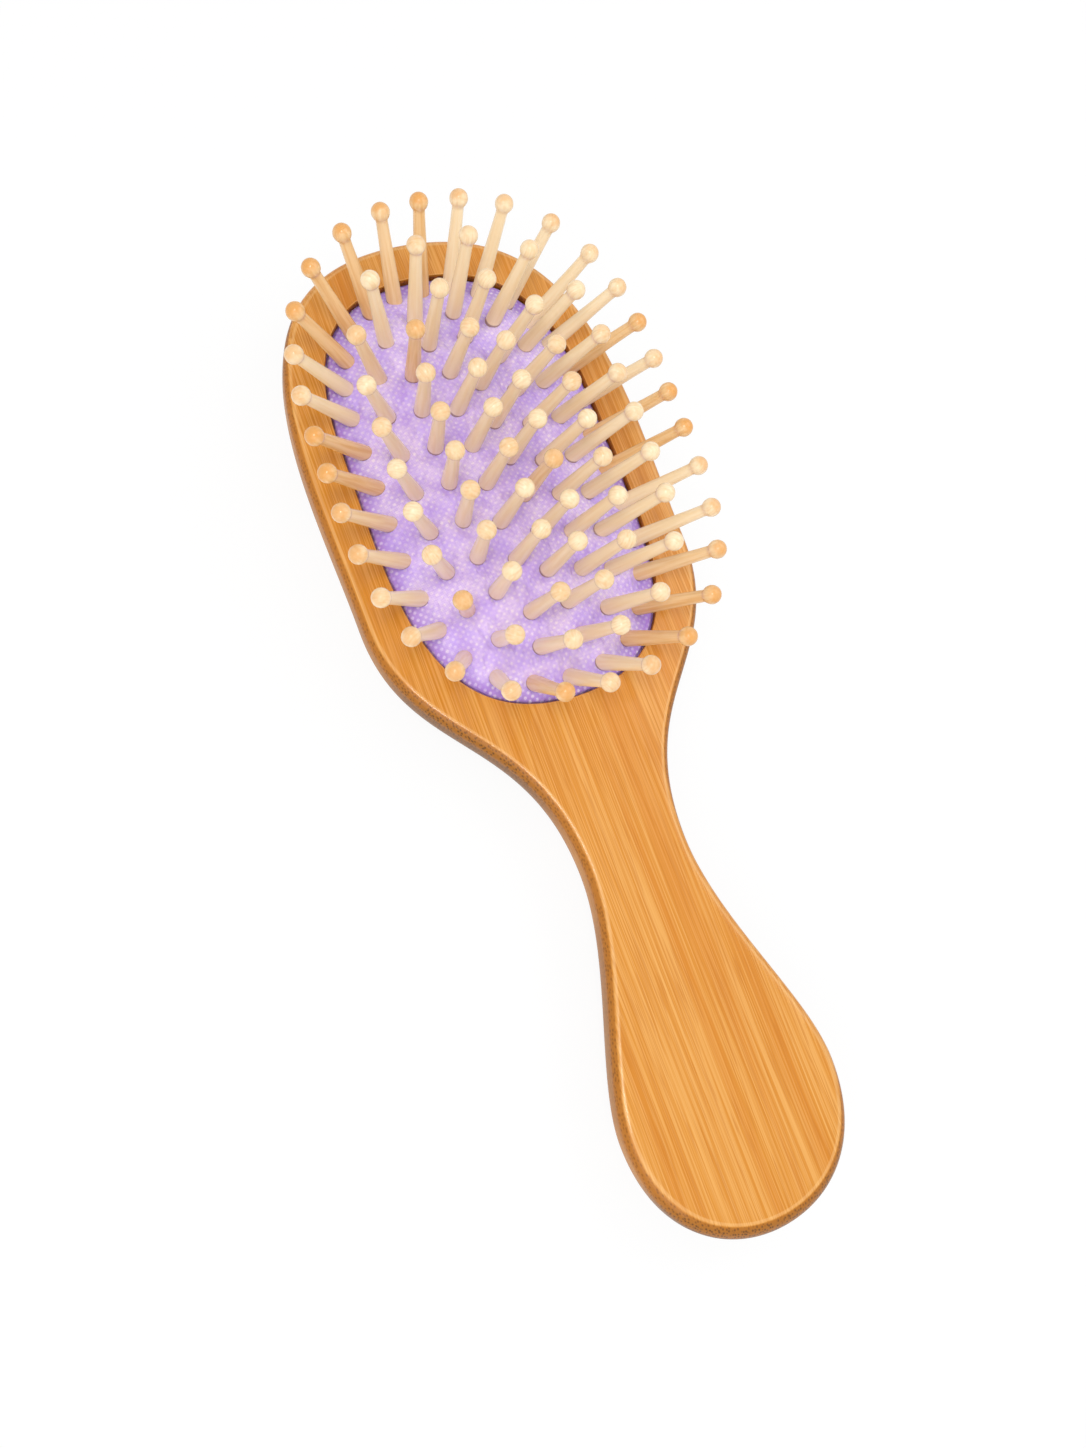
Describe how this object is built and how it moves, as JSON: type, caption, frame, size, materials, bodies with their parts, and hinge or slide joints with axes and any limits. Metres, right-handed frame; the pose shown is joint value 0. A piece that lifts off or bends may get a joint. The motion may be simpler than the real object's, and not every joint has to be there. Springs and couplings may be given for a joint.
{
  "type": "paddle hairbrush",
  "caption": "Flat wooden paddle hairbrush with a domed cloth-faced air cushion and rows of splayed, ball-tipped wooden pins.",
  "frame": {"origin": "middle of the part's bounding box, on the flat back of the body", "axes": "+Y from the end of the handle to the head, +X to the right seen from the pins, +Z out of the face that carries the pins"},
  "size_m": [0.0746, 0.21, 0.0391],
  "materials": {
    "bamboo": "laminated bamboo, honey coloured, satin lacquer",
    "pin_wood": "turned pale hardwood, smooth and waxed",
    "cushion_cloth": "lilac woven cloth with small pale dots, bonded to a rubber sheet"
  },
  "bodies": {
    "handle": {"bamboo_body": "bamboo", "cushion_edge": "cushion_cloth"},
    "outer_row": {"outer_pin_01": "pin_wood", "outer_pin_02": "pin_wood", "outer_pin_03": "pin_wood", "outer_pin_04": "pin_wood", "outer_pin_05": "pin_wood", "outer_pin_06": "pin_wood", "outer_pin_07": "pin_wood", "outer_pin_08": "pin_wood", "outer_pin_09": "pin_wood", "outer_pin_10": "pin_wood", "outer_pin_11": "pin_wood", "outer_pin_12": "pin_wood", "outer_pin_13": "pin_wood", "outer_pin_14": "pin_wood", "outer_pin_15": "pin_wood", "outer_pin_16": "pin_wood", "outer_pin_17": "pin_wood", "outer_pin_18": "pin_wood", "outer_pin_19": "pin_wood", "outer_pin_20": "pin_wood", "outer_pin_21": "pin_wood", "outer_pin_22": "pin_wood", "outer_pin_23": "pin_wood", "outer_pin_24": "pin_wood", "outer_pin_25": "pin_wood", "outer_pin_26": "pin_wood", "outer_pin_27": "pin_wood", "outer_pin_28": "pin_wood", "outer_pin_29": "pin_wood", "outer_pin_30": "pin_wood", "outer_pin_31": "pin_wood", "outer_pin_32": "pin_wood"},
    "second_row": {"cushion_ring": "cushion_cloth", "second_pin_01": "pin_wood", "second_pin_02": "pin_wood", "second_pin_03": "pin_wood", "second_pin_04": "pin_wood", "second_pin_05": "pin_wood", "second_pin_06": "pin_wood", "second_pin_07": "pin_wood", "second_pin_08": "pin_wood", "second_pin_09": "pin_wood", "second_pin_10": "pin_wood", "second_pin_11": "pin_wood", "second_pin_12": "pin_wood", "second_pin_13": "pin_wood", "second_pin_14": "pin_wood", "second_pin_15": "pin_wood", "second_pin_16": "pin_wood", "second_pin_17": "pin_wood", "second_pin_18": "pin_wood", "second_pin_19": "pin_wood", "second_pin_20": "pin_wood", "second_pin_21": "pin_wood", "second_pin_22": "pin_wood"},
    "middle_row": {"middle_row": "pin_wood"},
    "centre_row": {"centre_row": "pin_wood"}
  },
  "joints": [
    {"name": "press", "type": "slide", "parent": "handle", "child": "centre_row", "axis": [0, 0, -1], "range_m": [0, 0.003], "stiffness_N_per_m": 4000, "deforming": ["cushion_edge"]},
    {"name": "middle_sink", "type": "slide", "parent": "handle", "child": "middle_row", "axis": [0, 0, -1], "range_m": [0, 0.00277]},
    {"name": "second_sink", "type": "slide", "parent": "handle", "child": "second_row", "axis": [0, 0, -1], "range_m": [0, 0.00211]},
    {"name": "outer_sink", "type": "slide", "parent": "handle", "child": "outer_row", "axis": [0, 0, -1], "range_m": [0, 0.00091]}
  ],
  "couplings": [
    {"joint": "middle_sink", "follows": "press", "ratio": 0.92},
    {"joint": "second_sink", "follows": "press", "ratio": 0.7},
    {"joint": "outer_sink", "follows": "press", "ratio": 0.3}
  ]
}
